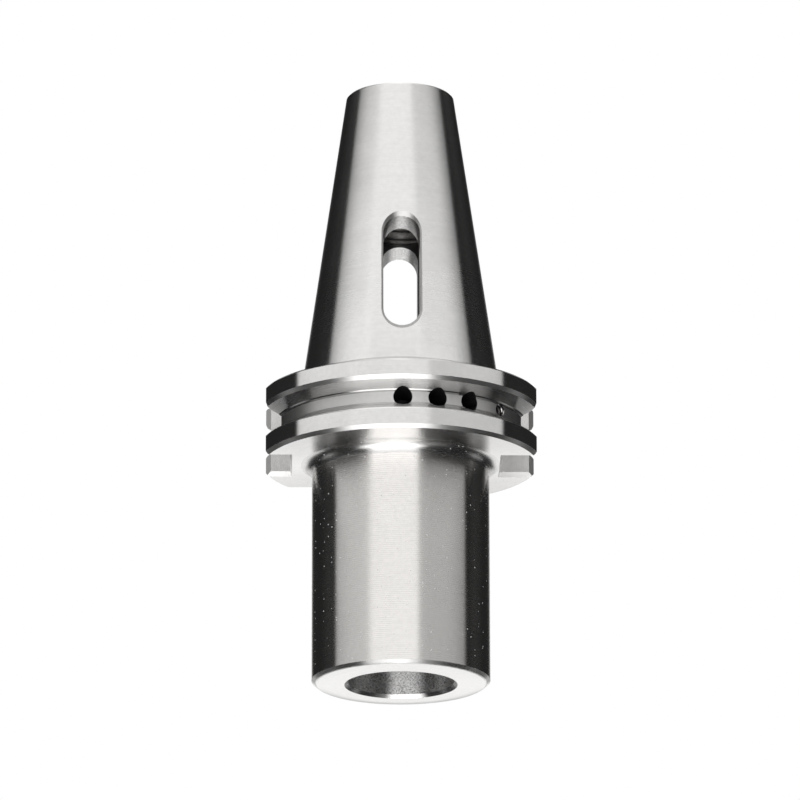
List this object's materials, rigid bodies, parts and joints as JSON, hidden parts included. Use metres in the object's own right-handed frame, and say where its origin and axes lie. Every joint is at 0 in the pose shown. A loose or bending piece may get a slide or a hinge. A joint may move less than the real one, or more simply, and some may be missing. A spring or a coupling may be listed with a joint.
{
  "type": "steep taper to morse taper adapter",
  "caption": "Tool holder of ground steel: steep machine taper with gripper flange and drive slots above, cylindrical nose with a Morse socket and a drift slot below.",
  "frame": {"origin": "on the axis, in the plane of the nose face, where a tool shank enters", "axes": "+Z along the axis from the nose to the small end of the steep taper, -X and +X out through the two drive slots, +Y and -Y out through the drift slot, -Y is the side in the picture"},
  "size_m": [0.0608, 0.0636, 0.1384],
  "materials": {
    "ground_steel": "hardened, turned and ground bright, marks run round the axis",
    "screw_steel": "dark oiled screw steel"
  },
  "bodies": {
    "root": {"holder_body": "ground_steel", "set_screw_right": "screw_steel", "set_screw_left": "screw_steel"}
  },
  "joints": []
}
